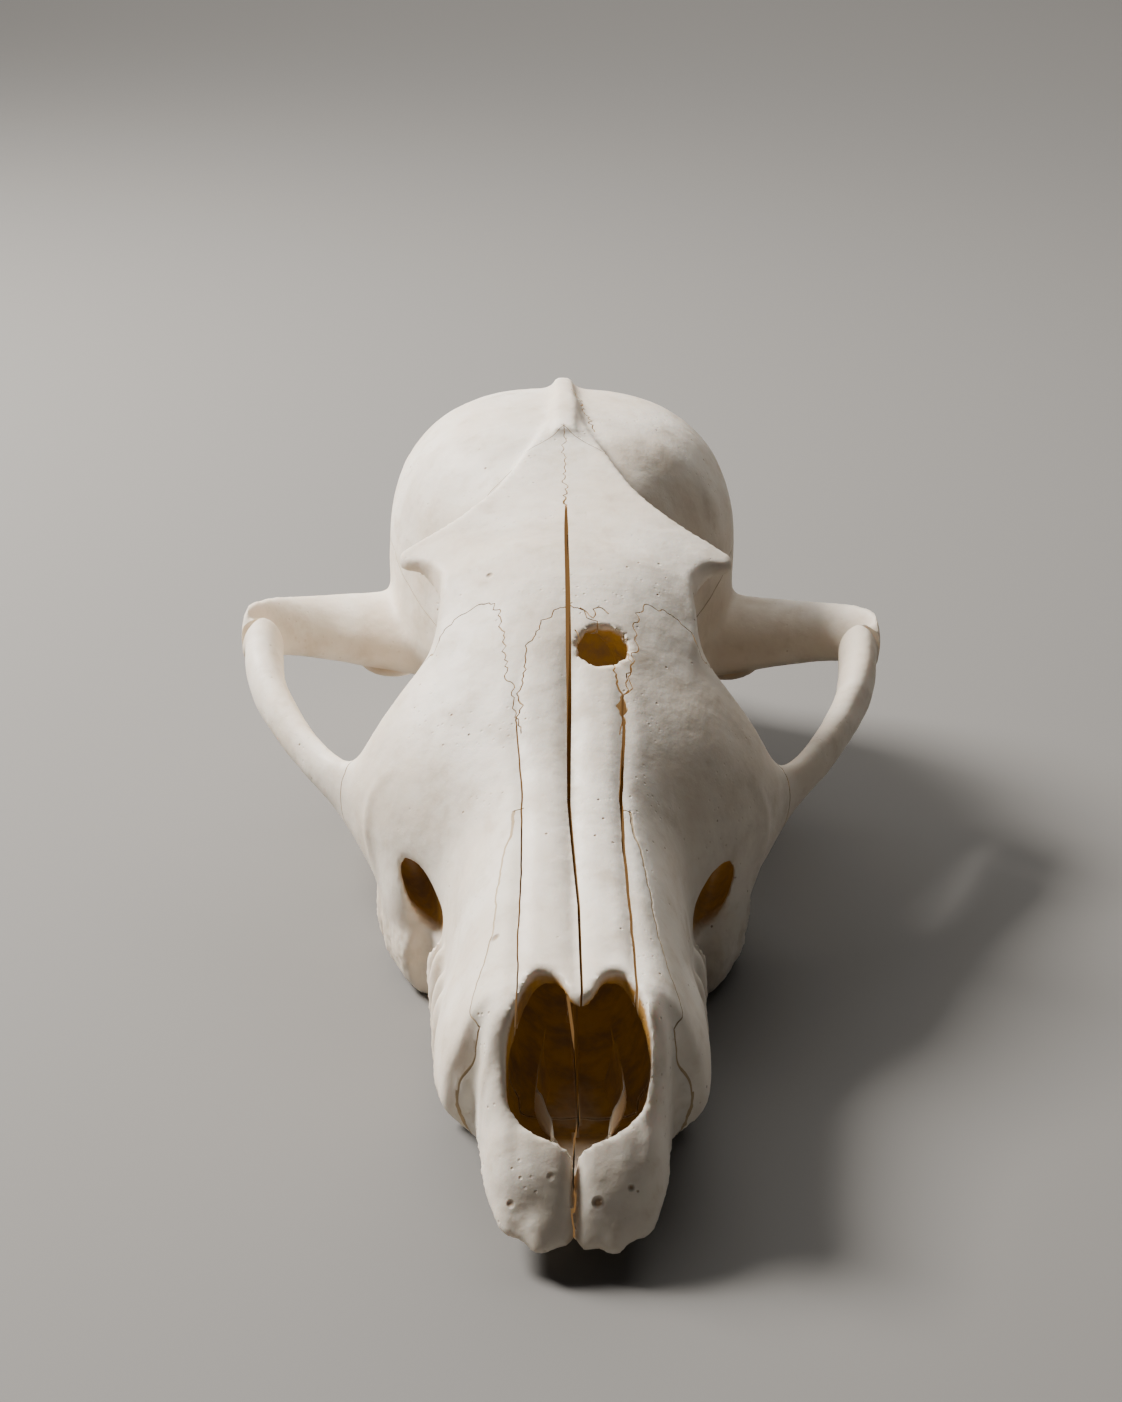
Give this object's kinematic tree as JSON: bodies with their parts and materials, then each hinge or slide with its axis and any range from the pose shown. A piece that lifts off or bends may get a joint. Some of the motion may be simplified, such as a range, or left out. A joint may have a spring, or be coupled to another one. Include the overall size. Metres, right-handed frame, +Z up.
{
  "type": "animal skull",
  "caption": "Life-size cranium of a red fox without the lower jaw and teeth, parted along its sutures, resting upright.",
  "frame": {"origin": "centre of the bounding box's underside, on the surface that the molar rows and ear capsules rest on", "axes": "+Z up; the nose points along -Y; +X is the skull's left side"},
  "size_m": [0.0798, 0.1474, 0.0523],
  "materials": {
    "premaxilla_left_bone": "dry bone, satin",
    "premaxilla_right_bone": "dry bone, satin",
    "nasal_left_bone": "dry bone, satin",
    "nasal_right_bone": "dry bone, satin",
    "maxilla_left_bone": "dry bone, satin",
    "maxilla_right_bone": "dry bone, satin",
    "frontal_left_bone": "dry bone, satin",
    "frontal_right_bone": "dry bone, satin",
    "jugal_left_bone": "dry bone, satin",
    "jugal_right_bone": "dry bone, satin",
    "parietal_bone": "dry bone, satin",
    "temporal_left_bone": "dry bone, satin",
    "temporal_right_bone": "dry bone, satin",
    "ear_capsule_left_bone": "dry bone, satin",
    "ear_capsule_right_bone": "dry bone, satin",
    "cranial_base_bone": "dry bone, satin",
    "occipital_bone": "dry bone, satin",
    "nasal_septum_bone": "dry bone, satin",
    "turbinate_left_bone": "dry bone, satin",
    "turbinate_right_bone": "dry bone, satin"
  },
  "bodies": {
    "root": {"premaxilla_left": "premaxilla_left_bone", "premaxilla_right": "premaxilla_right_bone", "nasal_left": "nasal_left_bone", "nasal_right": "nasal_right_bone", "maxilla_left": "maxilla_left_bone", "maxilla_right": "maxilla_right_bone", "frontal_left": "frontal_left_bone", "frontal_right": "frontal_right_bone", "jugal_left": "jugal_left_bone", "jugal_right": "jugal_right_bone", "parietal": "parietal_bone", "temporal_left": "temporal_left_bone", "temporal_right": "temporal_right_bone", "ear_capsule_left": "ear_capsule_left_bone", "ear_capsule_right": "ear_capsule_right_bone", "cranial_base": "cranial_base_bone", "occipital": "occipital_bone", "nasal_septum": "nasal_septum_bone", "turbinate_left": "turbinate_left_bone", "turbinate_right": "turbinate_right_bone"}
  },
  "joints": []
}
